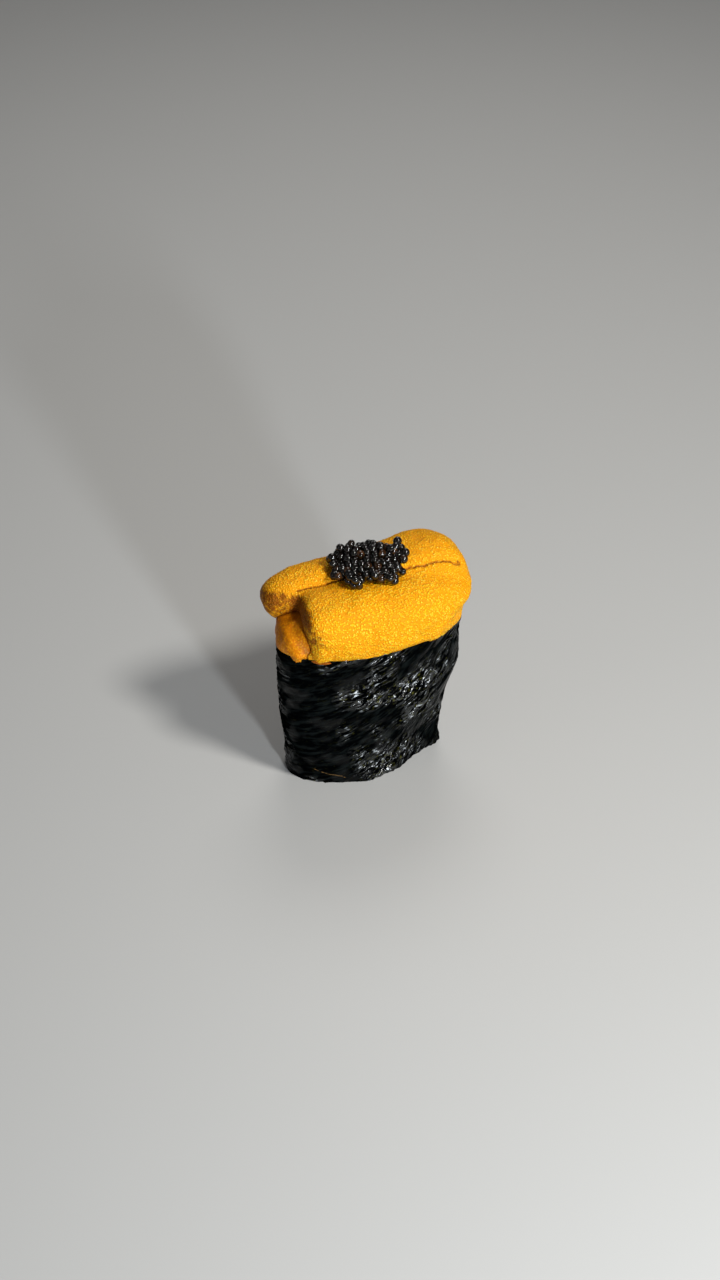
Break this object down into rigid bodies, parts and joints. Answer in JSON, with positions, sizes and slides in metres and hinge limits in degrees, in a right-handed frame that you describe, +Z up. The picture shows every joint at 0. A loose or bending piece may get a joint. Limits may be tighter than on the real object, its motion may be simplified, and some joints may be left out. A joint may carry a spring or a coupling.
{
  "type": "sea urchin gunkan sushi",
  "caption": "Gunkan sushi: pressed rice in a tall rumpled seaweed band, topped with orange sea urchin and a spoonful of black caviar.",
  "frame": {"origin": "middle of the flat underside, where the long and short axes of the band's foot cross", "axes": "+Z up from the underside to the topping, +X along the piece towards its high end, -Y towards the front"},
  "size_m": [0.0557, 0.0325, 0.0653],
  "materials": {
    "nori": "thin rumpled dark green seaweed with glossy fibres",
    "rice": "moist steamed grains",
    "uni": "moist and finely granular",
    "uni_smooth": "moist and smooth",
    "caviar": "glossy wet beads"
  },
  "bodies": {
    "root": {"nori": "nori", "rice": "rice", "uni_tongue": "uni", "uni_lower_tongue": "uni_smooth", "caviar": "caviar"}
  },
  "joints": []
}
